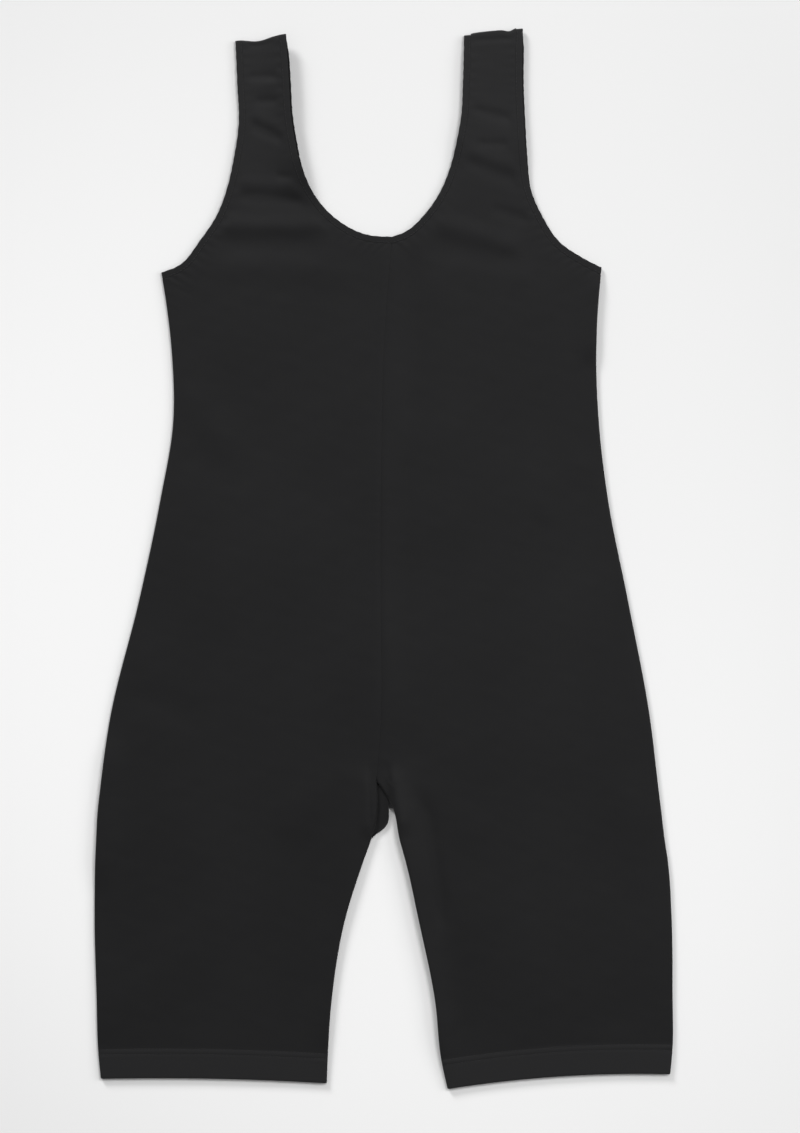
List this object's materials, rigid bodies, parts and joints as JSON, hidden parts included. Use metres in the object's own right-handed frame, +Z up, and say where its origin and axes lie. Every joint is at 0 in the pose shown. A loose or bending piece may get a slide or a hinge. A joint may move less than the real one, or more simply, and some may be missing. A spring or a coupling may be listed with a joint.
{
  "type": "dance unitard",
  "caption": "Sleeveless dance unitard with wide straps, a deep scoop neck and mid-thigh legs, laid flat on its back.",
  "frame": {"origin": "on the floor, under the middle of the laid garment's box", "axes": "+Y from the leg hems to the neck, +X to the wearer's left, +Z up out of the garment's front"},
  "size_m": [0.4915, 0.8995, 0.0131],
  "materials": {
    "stretch_knit": "matt black stretch jersey, fine knit with a faint sheen",
    "elastic_edging": "the same jersey turned over narrow elastic and stitched"
  },
  "bodies": {
    "root": {"front_right": "stretch_knit", "front_left": "stretch_knit", "back_right": "stretch_knit", "back_left": "stretch_knit", "neck_edging": "elastic_edging", "armhole_edging_right": "elastic_edging", "armhole_edging_left": "elastic_edging"}
  },
  "joints": []
}
